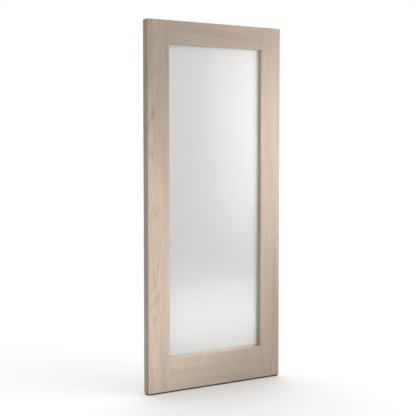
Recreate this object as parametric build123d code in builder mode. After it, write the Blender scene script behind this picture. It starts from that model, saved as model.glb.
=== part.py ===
from build123d import *
import os

# A glazed interior door leaf: two oak stiles and two oak rails round one tall
# pane of satin glass. X runs across the leaf from the hinge edge, Y from the
# front face to the back face, and Z up. The origin is the centre of the hinge
# edge, half way up and half way through, where the middle hinge would sit.

# The leaf, in millimetres
leaf_width = 914
leaf_height = 2134
leaf_thickness = 57
stile_width = 138
top_rail_height = 134
bottom_rail_height = 194

# How a stile or a rail is laid up: a laminated core between solid strips and
# two sawn veneers, with every arris eased
veneer_thickness = 3
outer_band_width = 8
inner_band_width = 18
outer_arris = 2
opening_arris = 1.2

# The rebate behind the opening, and what is glazed into it from the back
rebate_width = 12
bead_recess = 1.5
bead_depth = 16
bead_side_gap = 0.3
bead_arris = 1.5
tape_thickness = 1.5
tape_width = 7
tape_setback = 0.3
glass_thickness = 6
glass_edge_gap = 3

# The faces of the leaf and of its core
front = -leaf_thickness / 2
back = leaf_thickness / 2
core_front = front + veneer_thickness
core_back = back - veneer_thickness
leaf_bottom = -leaf_height / 2
leaf_top = leaf_height / 2

# The sight lines of the opening
sight_left = stile_width
sight_right = leaf_width - stile_width
sight_bottom = leaf_bottom + bottom_rail_height
sight_top = leaf_top - top_rail_height

# The layers of the glazing, from the back face inwards
bead_back = back - bead_recess
bead_front = bead_back - bead_depth
glass_back = bead_front - tape_thickness
glass_front = glass_back - glass_thickness
stop_back = glass_front - tape_thickness


def between(u_from, v_from, u_to, v_to, mode=Mode.ADD):
    """A rectangle from one corner to the opposite one, in the open sketch."""
    with Locations(((u_from + u_to) / 2, (v_from + v_to) / 2)):
        Rectangle(abs(u_to - u_from), abs(v_to - v_from), mode=mode)


def around_opening(margin, mode=Mode.ADD):
    """A rectangle that stands outside the sight lines by a margin all round."""
    between(sight_left - margin, sight_bottom - margin, sight_right + margin, sight_top + margin, mode)


def facing_front(y):
    """The plane at the depth y that looks to the front."""
    return Plane.XZ.offset(-y)


def finish(piece, name):
    """Name a piece and write it to its own file."""
    piece.part.label = name
    export_step(piece.part, f"parts/{name}.step")


os.makedirs("parts", exist_ok=True)

# The outside of the finished leaf, with every outer arris eased
with BuildPart() as outside:
    with BuildSketch(facing_front(back)):
        between(0, leaf_bottom, leaf_width, leaf_top)
    extrude(amount=leaf_thickness)
    fillet(outside.edges(), radius=outer_arris)

# The room that is cut behind the opening for the pane and its beads
with BuildPart() as rebate:
    with BuildSketch(facing_front(back)):
        around_opening(rebate_width)
    extrude(amount=back - stop_back)

# The front skin in one sheet, with the front edge of its opening eased. The
# outer arrises come from the outside of the leaf.
with BuildPart() as front_skin:
    with BuildSketch(facing_front(core_front)):
        between(0, leaf_bottom, leaf_width, leaf_top)
        around_opening(0, Mode.SUBTRACT)
    extrude(amount=veneer_thickness)
    fillet(front_skin.faces().sort_by(Axis.Y)[0].inner_wires()[0].edges(), radius=opening_arris)
    add(outside.part, mode=Mode.INTERSECT)

# The back skin in one sheet, open as far as the rebate
with BuildPart() as back_skin:
    with BuildSketch(facing_front(back)):
        between(0, leaf_bottom, leaf_width, leaf_top)
        around_opening(rebate_width, Mode.SUBTRACT)
    extrude(amount=veneer_thickness)
    add(outside.part, mode=Mode.INTERSECT)


def build_member(name, outline, core, outer_band, inner_band):
    """One stile or rail: its core, two solid bands and two veneers.

    Each argument after the name is a rectangle in the leaf's own elevation,
    as its left, bottom, right and top.
    """
    for part_name, strip in (("core", core), ("outer_band", outer_band), ("inner_band", inner_band)):
        with BuildPart() as lumber:
            with BuildSketch(facing_front(core_back)):
                between(*strip)
            extrude(amount=core_back - core_front)
            add(rebate.part, mode=Mode.SUBTRACT)
            add(outside.part, mode=Mode.INTERSECT)
        finish(lumber, f"{name}_{part_name}")

    for part_name, skin in (("front_veneer", front_skin), ("back_veneer", back_skin)):
        with BuildPart() as veneer:
            with BuildSketch(facing_front(back)):
                between(*outline)
            extrude(amount=leaf_thickness)
            add(skin.part, mode=Mode.INTERSECT)
        finish(veneer, f"{name}_{part_name}")


# The stiles run the full height of the leaf
for name, edge, inward in (("hinge_stile", 0, 1), ("lock_stile", leaf_width, -1)):
    core_from = edge + inward * outer_band_width
    core_to = edge + inward * (stile_width - inner_band_width)
    sight = edge + inward * stile_width
    build_member(
        name,
        outline=(edge, leaf_bottom, sight, leaf_top),
        core=(core_from, leaf_bottom, core_to, leaf_top),
        outer_band=(edge, leaf_bottom, core_from, leaf_top),
        inner_band=(core_to, leaf_bottom, sight, leaf_top),
    )

# The rails are dowelled between the stiles and meet them in a plain butt joint
for name, edge, sight in (("top_rail", leaf_top, sight_top), ("bottom_rail", leaf_bottom, sight_bottom)):
    inward = 1 if sight > edge else -1
    core_from = edge + inward * outer_band_width
    core_to = sight - inward * inner_band_width
    build_member(
        name,
        outline=(sight_left, edge, sight_right, sight),
        core=(sight_left, core_from, sight_right, core_to),
        outer_band=(sight_left, edge, sight_right, core_from),
        inner_band=(sight_left, core_to, sight_right, sight),
    )

# The pane stands clear of the rebate's walls, so that it can move
with BuildPart() as glass_pane:
    with BuildSketch(facing_front(glass_back)):
        around_opening(rebate_width - glass_edge_gap)
    extrude(amount=glass_thickness)
finish(glass_pane, "glass_pane")

# Closed-cell tape beds the pane on both faces, set back out of sight
tape_from = tape_setback
tape_to = tape_setback + tape_width
tape_strips = {
    "top": (sight_left - tape_to, sight_top + tape_from, sight_right + tape_to, sight_top + tape_to),
    "bottom": (sight_left - tape_to, sight_bottom - tape_to, sight_right + tape_to, sight_bottom - tape_from),
    "hinge_side": (sight_left - tape_to, sight_bottom - tape_from, sight_left - tape_from, sight_top + tape_from),
    "lock_side": (sight_right + tape_from, sight_bottom - tape_from, sight_right + tape_to, sight_top + tape_from),
}
for face, tape_back in (("front", glass_front), ("back", bead_front)):
    for side, strip in tape_strips.items():
        with BuildPart() as tape:
            with BuildSketch(facing_front(tape_back)):
                between(*strip)
            extrude(amount=tape_thickness)
        finish(tape, f"{face}_tape_{side}")

# Four square beads, mitred at the corners, are pinned into the rebate from the
# back. Each is drawn between two corners of the rebate and two of the opening.
bead_reach = rebate_width - bead_side_gap
inner_corners = [
    (sight_left, sight_bottom),
    (sight_right, sight_bottom),
    (sight_right, sight_top),
    (sight_left, sight_top),
]
outer_corners = [
    (sight_left - bead_reach, sight_bottom - bead_reach),
    (sight_right + bead_reach, sight_bottom - bead_reach),
    (sight_right + bead_reach, sight_top + bead_reach),
    (sight_left - bead_reach, sight_top + bead_reach),
]
opening_centre = ((sight_left + sight_right) / 2, bead_back, (sight_bottom + sight_top) / 2)
for corner, name in enumerate(("bottom_bead", "lock_side_bead", "top_bead", "hinge_side_bead")):
    following = (corner + 1) % len(inner_corners)
    with BuildPart() as bead:
        with BuildSketch(facing_front(bead_back)):
            with BuildLine():
                Polyline(
                    outer_corners[corner],
                    outer_corners[following],
                    inner_corners[following],
                    inner_corners[corner],
                    close=True,
                )
            make_face()
        extrude(amount=bead_depth)
        sight_edge = bead.faces().sort_by(Axis.Y)[-1].edges().sort_by_distance(opening_centre)[0]
        fillet(sight_edge, radius=bead_arris)
    finish(bead, name)
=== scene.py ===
import math

import bpy
import numpy as np
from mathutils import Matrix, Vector


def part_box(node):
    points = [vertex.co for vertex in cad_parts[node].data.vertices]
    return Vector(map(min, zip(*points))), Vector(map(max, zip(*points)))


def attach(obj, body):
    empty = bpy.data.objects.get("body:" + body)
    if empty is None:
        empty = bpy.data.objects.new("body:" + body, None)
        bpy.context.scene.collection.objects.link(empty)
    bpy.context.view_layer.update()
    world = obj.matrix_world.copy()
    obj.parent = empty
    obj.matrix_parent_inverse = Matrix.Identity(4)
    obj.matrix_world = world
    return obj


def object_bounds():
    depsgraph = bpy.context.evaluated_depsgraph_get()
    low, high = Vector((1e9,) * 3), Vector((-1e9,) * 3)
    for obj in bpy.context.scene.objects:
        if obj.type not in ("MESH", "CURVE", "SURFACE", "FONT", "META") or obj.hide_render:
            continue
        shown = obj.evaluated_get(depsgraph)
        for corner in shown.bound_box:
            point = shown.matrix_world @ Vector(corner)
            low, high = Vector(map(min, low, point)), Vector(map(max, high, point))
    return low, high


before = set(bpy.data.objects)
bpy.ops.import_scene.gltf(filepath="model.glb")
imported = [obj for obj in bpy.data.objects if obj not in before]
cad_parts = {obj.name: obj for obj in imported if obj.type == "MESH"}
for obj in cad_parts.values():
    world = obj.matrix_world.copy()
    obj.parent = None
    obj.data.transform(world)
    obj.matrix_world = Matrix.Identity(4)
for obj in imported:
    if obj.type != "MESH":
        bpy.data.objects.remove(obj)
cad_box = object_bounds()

# The cores. Each stile and rail is built round a blank of 28 mm oak staves, ripped, turned so
# that the growth rings of neighbours oppose each other, and glued side by side to stay flat.
# Only end grain shows: the saw cut across the staves at the top and bottom of the two stiles.


class Field:
    """A number that varies over a surface: the output of a shader node, with plain arithmetic."""

    def __init__(self, tree, socket):
        self.tree = tree
        self.socket = socket

    def math(self, operation, *others):
        """This number and the others, put through one Math node."""
        step = self.tree.nodes.new("ShaderNodeMath")
        step.operation = operation
        for place, value in enumerate((self,) + others):
            feed(self.tree, value, step.inputs[place])
        return Field(self.tree, step.outputs[0])

    def __add__(self, other):
        return self.math("ADD", other)

    def __sub__(self, other):
        return self.math("SUBTRACT", other)

    def __mul__(self, other):
        return self.math("MULTIPLY", other)

    def __truediv__(self, other):
        return self.math("DIVIDE", other)

    def size(self):
        return self.math("ABSOLUTE")

    def rise(self, start, end):
        """From 0 to 1, smoothly, as this number goes from start to end."""
        step = self.tree.nodes.new("ShaderNodeMapRange")
        step.interpolation_type = "SMOOTHSTEP"
        feed(self.tree, self, step.inputs["Value"])
        step.inputs["From Min"].default_value = start
        step.inputs["From Max"].default_value = end
        return Field(self.tree, step.outputs["Result"])


def feed(tree, value, socket):
    """Link a field to a socket, or set the socket to a plain number."""
    if isinstance(value, Field):
        tree.links.new(value.socket, socket)
    else:
        socket.default_value = value


def axes(tree, output, scale):
    """The three parts of a texture coordinate, each as a field, times a scale."""
    coordinate = tree.nodes.new("ShaderNodeTexCoord")
    parts = tree.nodes.new("ShaderNodeSeparateXYZ")
    tree.links.new(coordinate.outputs[output], parts.inputs[0])
    return [Field(tree, part) * scale for part in parts.outputs]


def noise(tree, detail, *where):
    """Smooth noise about 0.5, read along one or three fields that are divided by its grain size."""
    texture = tree.nodes.new("ShaderNodeTexNoise")
    texture.inputs["Scale"].default_value = 1.0
    texture.inputs["Detail"].default_value = detail
    if len(where) == 1:
        texture.noise_dimensions = "1D"
        feed(tree, where[0], texture.inputs["W"])
    else:
        texture.noise_dimensions = "3D"
        place = tree.nodes.new("ShaderNodeCombineXYZ")
        for socket, value in zip(place.inputs, where):
            feed(tree, value, socket)
        tree.links.new(place.outputs[0], texture.inputs["Vector"])
    return Field(tree, texture.outputs["Fac"])


def chance(tree, where):
    """A number from 0 to 1 that jumps to a new value at each whole step of the field."""
    texture = tree.nodes.new("ShaderNodeTexWhiteNoise")
    texture.noise_dimensions = "1D"
    feed(tree, where, texture.inputs["W"])
    return Field(tree, texture.outputs["Value"])


def along_board(tree, place, values):
    """A smooth line through evenly spaced values, from -200 to 200, as place goes from 0 to 1."""
    line = tree.nodes.new("ShaderNodeFloatCurve")
    points = line.mapping.curves[0].points
    while len(points) < len(values):
        points.new(0.5, 0.5)
    for step, value in enumerate(values):
        points[step].location = (step / (len(values) - 1), value / 400 + 0.5)
    line.mapping.update()
    feed(tree, place, line.inputs["Value"])
    return (Field(tree, line.outputs["Value"]) - 0.5) * 400


def blend(tree, amount, first, second):
    """Mix two colours by a field, from the first at 0 to the second at 1."""
    mix = tree.nodes.new("ShaderNodeMix")
    mix.data_type = "RGBA"
    feed(tree, amount, mix.inputs[0])
    mix.inputs[6].default_value = (*first, 1)
    mix.inputs[7].default_value = (*second, 1)
    return Field(tree, mix.outputs[2])


def surface(name):
    """An empty material, with its node tree and its one shader."""
    material = bpy.data.materials.new(name)
    material.use_nodes = True
    return material, material.node_tree, material.node_tree.nodes["Principled BSDF"]


def relief(tree, shader, height, depth):
    """Raise and sink the surface by a field, by depth in metres."""
    bump = tree.nodes.new("ShaderNodeBump")
    bump.inputs["Distance"].default_value = depth
    feed(tree, height, bump.inputs["Height"])
    tree.links.new(bump.outputs["Normal"], shader.inputs["Normal"])


def oak(
    name, grain, heart, depths, seed, ring=4.5, figure=1.0,
    painted_shade=0.0, seams=(), mitred=False, stave=0, bends=(0, 0), dives=(),
):
    """Limed oak with a satin oil, cut from one log, as a solid material. Lengths are in mm.

    The growth rings are tubes round the heart of the log. A point's ring is the root of its
    distance from the heart across the board, squared, plus its distance through the board,
    squared, divided by the ring width. The heart lies at heart across the board and sways, and
    at depths through it, evenly spaced along it: where it nears the face, the rings draw arches.
    Each ring starts with a dark band of open pores and pales outwards. seams are glue lines, as
    the number of an axis and a place on it, and mitred draws the joints across the corners of the
    opening. stave is the width of the strips in a glued blank. bends move the heart across the
    board, evenly spaced along it. dives are the strengths, in per cent and evenly spaced too, of
    slanting marks near the heart, where the fibres dive inwards. painted_shade darkens the whole
    colour, or pales it where it is below 0, as painted shade or painted light. Every arris is
    painted pale, partly as rubbed wear and partly as a painted highlight.
    """
    half_width, half_depth, half_height = 457, 28.5, 1067
    pane_half_width, pane_half_height, pane_middle = 319, 903, 30
    pale_oak, dark_oak = (0.470, 0.382, 0.311), (0.215, 0.152, 0.108)
    material, tree, shader = surface(name)
    x, y, z = axes(tree, "Object", 1000)
    if grain == "z":
        along, across = z, x
        start, length = -half_height, half_height * 2
    else:
        along, across = x, z
        start, length = half_width - pane_half_width, pane_half_width * 2
    cut = y
    dirt = []
    if stave:
        strip = (across / stave).math("FLOOR")
        edge = (across / stave - strip - 0.5).size()
        dirt.append(edge.rise(0.5 - 0.35 / stave, 0.5 - 0.1 / stave))
        flip = strip.math("PINGPONG", 1) * 2 - 1
        cut = cut * flip
        heart = (chance(tree, strip + seed) - 0.5) * 150 + across - (across / stave - strip) * stave
    place = (along - start) / length
    sway = (noise(tree, 1, along / 330 + seed) - 0.5) * 34 + along_board(tree, place, bends)
    deep = cut - along_board(tree, place, depths)
    aside = across - sway - heart
    waver = noise(tree, 2, along / 170 + seed, across / 26, y / 26) - 0.5
    count = ((aside * aside + deep * deep).math("SQRT") + waver * 5) / ring
    count = count + noise(tree, 0, count * 0.4 + seed) * 1.4
    part = count.math("FRACT")
    strong = chance(tree, count.math("FLOOR") + seed) * 0.7 + 0.3
    early = part.rise(0.55, 0.03).math("MINIMUM", 1)
    early = early.math("MAXIMUM", part.rise(0.9, 1.0)) * strong
    tone = noise(tree, 1, along / 480 + seed, across / 42, y / 42) - 0.5
    fibre = noise(tree, 3, along / 120 + seed, across / 2.6, y / 2.6) - 0.5
    pore = noise(tree, 1, along / 7 + seed, across / 0.24, y / 0.24) + early * 0.09
    pore = pore.rise(0.57, 0.67)
    ray = noise(tree, 1, along / 3.2 + seed, across / 0.35, y / 13).rise(0.62, 0.7)
    for axis, joint in seams:
        dirt.append(((x, y, z)[axis] - joint).size().rise(0.35, 0.1))
    way = axes(tree, "Normal", 1)[2 if grain == "z" else 0]
    end = way.size().rise(0.6, 0.95)
    from_middle = (x - half_width).size()
    out_x = from_middle - half_width
    out_y = y.size() - half_depth
    out_z = z.size() - half_height
    arris = out_x.math("MINIMUM", out_y).math("MAXIMUM", out_x.math("MINIMUM", out_z))
    arris = arris.math("MAXIMUM", out_y.math("MINIMUM", out_z))
    from_side = from_middle * -1 + pane_half_width
    from_rail = (z - pane_middle).size() * -1 + pane_half_height
    sight_arris = out_y.math("MINIMUM", from_side.math("MINIMUM", from_rail))
    # Painted highlight and wear: within 6.5 mm of every outer arris, and 2.4 mm of the arris round the
    # opening, the colour is painted paler, partly as rubbed wear and partly as a highlight where the
    # arrises catch the light.
    highlight_and_wear = arris.rise(-6.5, -0.8).math("MAXIMUM", sight_arris.rise(-2.4, -0.6))
    if mitred:
        dirt.append((from_side - from_rail).size().rise(0.45, 0.15))
    dark = early * (0.34 * figure) + tone * 0.5 + fibre * 0.42 + pore * 0.26 + ray * 0.12
    # Here the painted highlight pales the arrises, and painted_shade darkens or pales the whole colour
    # as painted shade or painted light.
    dark = dark + end * 0.16 - highlight_and_wear * 0.3 + (0.075 + painted_shade)
    if dives:
        slanted = (across - along * 0.5) / 30
        dive = noise(tree, 2, along / 120 + seed, slanted, y / 30).rise(0.46, 0.74)
        dark = dark + dive * aside.size().rise(44, 20) * along_board(tree, place, dives) / 100
    for line in dirt:
        dark = dark + line * 0.4
    feed(tree, blend(tree, dark, pale_oak, dark_oak), shader.inputs["Base Color"])
    rough = pore * 0.12 + fibre * 0.1 + highlight_and_wear * 0.08 + end * 0.12 + 0.5
    feed(tree, rough, shader.inputs["Roughness"])
    shader.inputs["Specular IOR Level"].default_value = 0.42
    relief(tree, shader, (pore * 0.7 + early * 0.3) * -1, 0.00012)
    return material


def dress(nodes, material):
    """Give CAD nodes a material in place of their plain one."""
    for name in nodes:
        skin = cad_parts[name].data
        skin.materials.clear()
        skin.materials.append(material)


dress(["hinge_stile_core"], oak("hinge_stile_staves", "z", 0, (70, 74, 70), 3, stave=28))
dress(["lock_stile_core"], oak("lock_stile_staves", "z", 0, (62, 70, 66), 11, stave=28))
dress(["top_rail_core"], oak("top_rail_staves", "x", 0, (75, 70, 75), 17, stave=28))
dress(["bottom_rail_core"], oak("bottom_rail_staves", "x", 0, (68, 74, 70), 23, stave=28))

# The outer bands. A strip of solid oak, 8 mm thick, is glued to the outside edge of each blank
# before it is veneered, so that the door can be trimmed to its opening and take a hinge. They
# are sawn on the quarter: straight, close lines with the cross flecks of the rays.
skins = ((1, -25.5), (1, 25.5))
joints = ((0, 138), (0, 776))
for name, grain, heart, depths, seams in (
    ("hinge_stile", "z", 20, (150, 165, 156, 160), skins),
    ("lock_stile", "z", 890, (-150, -160, -158, -150), skins),
    ("top_rail", "x", 1050, (160, 150, 158), skins + joints),
    ("bottom_rail", "x", -1050, (-152, -160, -150), skins + joints),
):
    seed = 31 + len(name) + abs(heart) % 7
    dress([f"{name}_outer_band"], oak(f"{name}_edge_oak", grain, heart, depths, seed, 3.4, seams=seams))

# The inner bands. The same solid oak, 18 mm thick, lines the opening, but its colour is painted a
# little paler: painted light that lifts the shade in the recess. The rebate for the glass is cut in
# it from the back, and its front part is the reveal that shows round the pane.
for name, grain, heart, depths, seams in (
    ("hinge_stile", "z", 128, (-140, -150, -146, -152), skins),
    ("lock_stile", "z", 786, (148, 155, 150, 146), skins),
    ("top_rail", "x", 942, (-150, -142, -150), skins),
    ("bottom_rail", "x", -882, (146, 152, 144), skins),
):
    seed = 53 + len(name) + abs(heart) % 9
    # painted_shade=-0.06 paints the reveal's oak paler: painted light in the recess round the pane,
    # where real shade falls.
    painted_light_reveal_oak = oak(f"{name}_painted_light_reveal_oak", grain, heart, depths, seed, 3.8, painted_shade=-0.06, seams=seams)
    painted_light_reveal_oak.node_tree.nodes["Principled BSDF"].inputs["Specular IOR Level"].default_value = 0.8
    dress([f"{name}_inner_band"], painted_light_reveal_oak)

# The front skins. Sawn oak, 3 mm thick, is pressed over blank and bands in one piece a member.
# The hinge stile has a flat-sawn board, with arches, an oval and marks where the fibres dive, and
# the others have straight ones. The rails butt against the stiles, in joints like hairlines.
straight = (0, 0)
near_heart = (49, 50, 49, 47, 42, 38, 36, 33, 31, 27, 24, 18, 22, 25, 27, 30, 33)
wander = (4, 0, -6, 0, 2, -8, -22, -16, -4, 0, 4)
marks = (0, 0, 12, 22, 30, 22, 14, 8, 30, 26, 30, 22, 20, 26, 8, 18, 0)
front_skins = {
    "hinge_stile": ("z", 46, near_heart, 131, 4.8, 0.85, (), wander, marks),
    "lock_stile": ("z", 960, (58, 66, 60, 70, 64), 83, 4.0, 0.7, (), straight, ()),
    "top_rail": ("x", 880, (62, 58, 66), 97, 4.2, 0.8, joints, straight, ()),
    "bottom_rail": ("x", -1090, (48, 42, 50, 46), 103, 4.4, 0.8, joints, straight, ()),
}
for name, (grain, heart, depths, seed, ring, figure, seams, bends, dives) in front_skins.items():
    front_oak = oak(
        f"{name}_front_oak", grain, heart, depths, seed, ring, figure,
        seams=seams, bends=bends, dives=dives,
    )
    dress([f"{name}_front_veneer"], front_oak)

# The back skins. The next leaves sawn from the same logs, so the back has the front's figure
# turned about, a little plainer.
for name, (grain, heart, depths, seed, ring, figure, seams, bends, dives) in front_skins.items():
    depths = [-depth - 6 for depth in depths]
    dives = [dive * 0.7 for dive in dives]
    back_oak = oak(
        f"{name}_back_oak", grain, heart, depths, seed + 0.3, ring, figure,
        seams=seams, bends=bends, dives=dives,
    )
    dress([f"{name}_back_veneer"], back_oak)

# The glazing tapes. Closed-cell foam, 7 by 1.5 mm, grey, stuck round the rebate before the pane
# goes in and round the pane before the beads. It bears on the glass just out of sight.
foam, tree, shader = surface("foam_tape")
x, y, z = axes(tree, "Object", 1000)
cells = tree.nodes.new("ShaderNodeTexVoronoi")
cells.inputs["Scale"].default_value = 1600
coordinate = tree.nodes.new("ShaderNodeTexCoord")
tree.links.new(coordinate.outputs["Object"], cells.inputs["Vector"])
cell = Field(tree, cells.outputs["Distance"])
cloud = noise(tree, 2, x / 9, y / 9, z / 9)
grey = blend(tree, cell * 0.5 + cloud * 0.4, (0.60, 0.60, 0.59), (0.44, 0.44, 0.43))
feed(tree, grey, shader.inputs["Base Color"])
feed(tree, cell * 0.15 + 0.78, shader.inputs["Roughness"])
relief(tree, shader, cell, 0.0002)
for side in ("top", "bottom", "hinge_side", "lock_side"):
    dress([f"front_tape_{side}", f"back_tape_{side}"], foam)

# The pane. One sheet of 6 mm toughened glass, etched to a fine satin on its faces, so that it
# passes light but no view. The beads hold it between the two rounds of tape.
satin, tree, shader = surface("satin_glass")
x, y, z = axes(tree, "Object", 1000)
etch = noise(tree, 3, x / 0.5, y / 0.5, z / 0.5)
cloud = noise(tree, 2, x / 140, y / 140, z / 140)
white = blend(tree, cloud, (0.75, 0.747, 0.739), (0.72, 0.717, 0.709))
feed(tree, white, shader.inputs["Base Color"])
feed(tree, etch * 0.06 + cloud * 0.04 + 0.45, shader.inputs["Roughness"])
shader.inputs["Transmission Weight"].default_value = 0.55
shader.inputs["IOR"].default_value = 1.5
shader.inputs["Coat Weight"].default_value = 0.3
shader.inputs["Coat Roughness"].default_value = 0.25
relief(tree, shader, etch, 0.00001)
dress(["glass_pane"], satin)

# The beads. Four strips of solid oak, 12 by 16 mm, mitred at the corners, pressed against the
# back tape and pinned to the stiles and rails from the back.
for name, grain, heart, depths in (
    ("top_bead", "x", 1030, (120, 126, 118)),
    ("bottom_bead", "x", -980, (-118, -126, -120)),
    ("hinge_side_bead", "z", 40, (126, 118, 124)),
    ("lock_side_bead", "z", 880, (-120, -126, -118)),
):
    seed = 121 + len(name) + heart % 5
    dress([name], oak(f"{name}_oak", grain, heart, depths, seed, 3.6, 0.8, mitred=True))

# The pins. Brads hold the beads from the back, about 200 mm apart and 6 mm from the sight line.
# Their heads are punched in and stopped with soft brown wax, wiped off a hair proud of the wood.


def wax_stops(places, radius, rise, root, rings=5, sides=16):
    """One lens of wax for each place, a row of points on the back faces of the beads, in metres.

    A lens is a curve turned about the line through its place. The curve runs from the top of the
    dome over the rim to the foot: at the share r of the radius, the dome stands rise * (1 - r * r)
    out of the wood, and the foot goes root * (1 - r * r) into it.
    """
    share = np.linspace(0, 1, rings + 1)[1:]
    reach = np.concatenate([share, share[-2::-1]])
    dome = rise * (1 - share ** 2)
    foot = -root * (1 - share[-2::-1] ** 2)
    lift = np.concatenate([dome, foot])
    turn = np.arange(sides) * (2 * np.pi / sides)
    ring = np.stack(
        [
            radius * reach[:, None] * np.cos(turn),
            np.broadcast_to(lift[:, None], (len(reach), sides)),
            radius * reach[:, None] * np.sin(turn),
        ],
        axis=-1,
    )
    lens = np.concatenate([ring.reshape(-1, 3), [[0, rise, 0], [0, -root, 0]]])
    points = (places[:, None, :] + lens[None, :, :]).reshape(-1, 3)
    here = np.arange(len(reach) * sides).reshape(len(reach), sides)
    after = np.roll(here, -1, axis=1)
    quads = np.stack([here[:-1], after[:-1], after[1:], here[1:]], axis=-1).reshape(-1, 4)
    crown = np.stack([after[0], here[0], np.full(sides, here.size)], axis=-1)
    heel = np.stack([here[-1], after[-1], np.full(sides, here.size + 1)], axis=-1)
    step = (np.arange(len(places)) * len(lens))[:, None, None]
    quads = (quads[None] + step).reshape(-1, 4)
    fans = (np.concatenate([crown, heel])[None] + step).reshape(-1, 3)
    return points, quads.tolist() + fans.tolist()


bead_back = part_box("top_bead")[1].y
pins_a_side, pins_a_rail = 9, 4
side_heights = np.linspace(-0.813, 0.873, pins_a_side)
rail_places = np.linspace(0.198, 0.716, pins_a_rail)
rows = [np.stack(np.broadcast_arrays(x, bead_back, side_heights), axis=-1) for x in (0.132, 0.782)]
rows += [np.stack(np.broadcast_arrays(rail_places, bead_back, z), axis=-1) for z in (-0.879, 0.939)]
places = np.concatenate(rows)
points, faces = wax_stops(places, radius=0.0014, rise=0.00015, root=0.0004)
stops = bpy.data.meshes.new("bead_pins")
stops.from_pydata(points.tolist(), [], faces)
stops.shade_smooth()
wax, tree, shader = surface("brown_wax")
x, y, z = axes(tree, "Object", 1000)
smear = noise(tree, 2, x / 0.6, y / 0.6, z / 0.6)
brown = blend(tree, smear, (0.235, 0.165, 0.115), (0.150, 0.100, 0.068))
feed(tree, brown, shader.inputs["Base Color"])
feed(tree, smear * 0.2 + 0.38, shader.inputs["Roughness"])
relief(tree, shader, smear, 0.00003)
stops.materials.append(wax)
pins = bpy.data.objects.new("bead_pins", stops)
bpy.context.scene.collection.objects.link(pins)
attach(pins, "root")

# The floor. A sweep of white paper, well past the view on every side. The door stands on a
# strip of near-black felt, 8.5 mm thick, set back under it all round: a painted shadow in the gap.
floor_reach = 60.0
felt_height = 0.0085
floor_height = cad_box[0].z - felt_height
corners = [(x, y, floor_height) for x, y in ((-1, -1), (1, -1), (1, 1), (-1, 1))]
corners = [(x * floor_reach, y * floor_reach, z) for x, y, z in corners]
sheet = bpy.data.meshes.new("floor")
sheet.from_pydata(corners, [], [(0, 1, 2, 3)])
floor = bpy.data.objects.new("floor", sheet)
bpy.context.scene.collection.objects.link(floor)
paper, tree, shader = surface("white_paper")
shader.inputs["Base Color"].default_value = (0.89, 0.89, 0.885, 1)
shader.inputs["Roughness"].default_value = 0.9
sheet.materials.append(paper)
low, high = cad_box[0], cad_box[1]
x_side = np.array([low.x + 0.004, high.x - 0.004])
y_side = np.array([low.y + 0.005, high.y - 0.005])
z_side = np.array([floor_height, low.z - 0.0002])
grid = np.stack(np.meshgrid(x_side, y_side, z_side, indexing="ij"), axis=-1).reshape(-1, 3)
strip = bpy.data.meshes.new("shadow_felt")
strip.from_pydata(
    grid.tolist(),
    [],
    [(0, 1, 3, 2), (4, 6, 7, 5), (0, 4, 5, 1), (2, 3, 7, 6), (0, 2, 6, 4), (1, 5, 7, 3)],
)
shadow_felt = bpy.data.objects.new("shadow_felt", strip)
bpy.context.scene.collection.objects.link(shadow_felt)
# The felt is near black, so that the gap under the door shows as a painted shadow.
shadow_cloth, tree, shader = surface("painted_shadow_felt")
shader.inputs["Base Color"].default_value = (0.03, 0.03, 0.028, 1)
shader.inputs["Roughness"].default_value = 1.0
strip.materials.append(shadow_cloth)

# The room. A pale dome that glows overhead, high up behind the door, and low on the right both
# in front of it and behind it, and is dim elsewhere. The camera itself sees plain white there.
world = bpy.data.worlds.new("studio")
bpy.context.scene.world = world
world.use_nodes = True
tree = world.node_tree
coordinate = tree.nodes.new("ShaderNodeTexCoord")
glow = 0.03
for azimuth, height, strength, narrowness in (
    (45, 20, 2.22, 6),
    (135, 20, 1.43, 6),
    (0, 90, 2.34, 8),
    (180, 60, 1.40, 6),
):
    turn, lift = math.radians(azimuth), math.radians(height)
    facing = tree.nodes.new("ShaderNodeVectorMath")
    facing.operation = "DOT_PRODUCT"
    tree.links.new(coordinate.outputs["Generated"], facing.inputs[0])
    facing.inputs[1].default_value = (
        math.sin(turn) * math.cos(lift),
        -math.cos(turn) * math.cos(lift),
        math.sin(lift),
    )
    lobe = Field(tree, facing.outputs["Value"]).math("MAXIMUM", 0).math("POWER", narrowness)
    glow = lobe * strength + glow
seen = Field(tree, tree.nodes.new("ShaderNodeLightPath").outputs["Is Camera Ray"])
feed(tree, glow + (glow * -1 + 1) * seen, tree.nodes["Background"].inputs["Strength"])
tree.nodes["Background"].inputs["Color"].default_value = (1, 1, 1, 1)

# The softboxes. Small ones with grids stand 0.9 m in front of the door, low on the left and high
# on the right, and even out what the dome leaves dim. Flags keep their light off pane and floor.


def softbox(place, aim, width, height, watts, lit, spread=180):
    """A flat lamp, sizes in metres, that looks from place to aim and lights what is in lit."""
    box = bpy.data.lights.new("softbox", "AREA")
    box.shape = "RECTANGLE"
    box.size = width
    box.size_y = height
    box.spread = math.radians(spread)
    box.energy = watts
    lamp = bpy.data.objects.new("softbox", box)
    bpy.context.scene.collection.objects.link(lamp)
    lamp.location = place
    lamp.rotation_euler = (Vector(place) - Vector(aim)).to_track_quat("Z", "Y").to_euler()
    lamp.light_linking.receiver_collection = lit
    lamp.visible_camera = False
    lamp.visible_glossy = False
    lamp.visible_transmission = False
    return lamp


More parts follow.
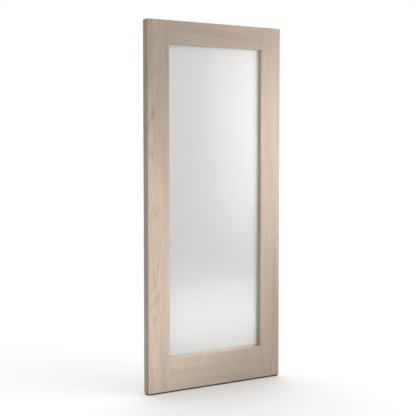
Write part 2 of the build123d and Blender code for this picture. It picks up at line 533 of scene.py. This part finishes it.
flagged = bpy.data.collections.new("flagged")
flagged.objects.link(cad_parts["glass_pane"])
flagged.objects.link(floor)
for kept_dark in flagged.collection_objects:
    kept_dark.light_linking.link_state = "EXCLUDE"
stand_off = 0.9
box_width = 0.45
for across, height, watts in (
    (1.10, 1.10, 0.24),
    (1.10, 0.60, 0.65),
    (1.10, 0.10, 1.16),
    (0.75, 0.60, 0.65),
    (0.40, -0.40, 1.15),
    (0.40, -0.85, 0.20),
    (0.00, 0.10, 0.73),
    (0.00, -0.85, 0.72),
):
    here, straight_on = (across, -stand_off, height), (across, 0, height)
    softbox(here, straight_on, box_width, box_width, watts, flagged, spread=80)

# The lights for the opening. One stands far to the left and fills it all, and a small one over
# the sill picks that out. Five more are screened so that they fall on the pane alone: a tall one
# and a low one in front, thin ones by two of its edges, and one behind that shines through it.


def only(*names):
    """A collection of some CAD nodes, for a lamp that is screened off from everything else."""
    group = bpy.data.collections.new("lit")
    for name in names:
        group.objects.link(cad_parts[name])
    return group


bands = [f"{name}_inner_band" for name in ("hinge_stile", "lock_stile", "top_rail", "bottom_rail")]
opening_centre = (0.457, 0, 0.03)
sill = (0.457, -0.01, -0.87)
softbox((-1.2, -3.0, 1.2), opening_centre, 1.2, 1.2, 12.4, only("glass_pane", *bands))
softbox((0.457, -0.35, 0.0), sill, 0.6, 0.1, 1.1, only("bottom_rail_inner_band"), spread=60)
pane_only = only("glass_pane")
screen = bpy.data.collections.new("screen")
screen.objects.link(shadow_felt)
for place, width, height, watts in (
    ((0.82, -0.32, 0.47), 0.3, 1.2, 2.3),
    ((0.5, -0.10, -0.61), 0.8, 0.34, 0.38),
    ((0.80, -0.06, 0.03), 0.01, 1.75, 0.12),
    ((0.457, -0.06, -0.895), 0.6, 0.01, 0.05),
):
    lamp = softbox(place, (place[0], 0, place[2]), width, height, watts, pane_only)
    lamp.light_linking.blocker_collection = screen
lamp = softbox((1.1, 0.7, -0.85), (1.1, 0, -0.85), 1.4, 0.34, 1.3, pane_only)
lamp.visible_diffuse = False
lamp.visible_transmission = True

# The camera, 1.4 m above the floor and to the hinge side, with a short telephoto lens.
lens = bpy.data.cameras.new("camera")
lens.sensor_width = 36
lens.lens = 81.07
lens.shift_y = -0.018
camera = bpy.data.objects.new("camera", lens)
bpy.context.scene.collection.objects.link(camera)
camera.location = (-2.4866, -4.7105, 0.3422)
tilt_down, turn_right = math.radians(3.218), math.radians(31.634)
camera.rotation_euler = (math.pi / 2 - tilt_down, 0, -turn_right)
bpy.context.scene.camera = camera
bpy.context.scene.view_settings.view_transform = "Standard"
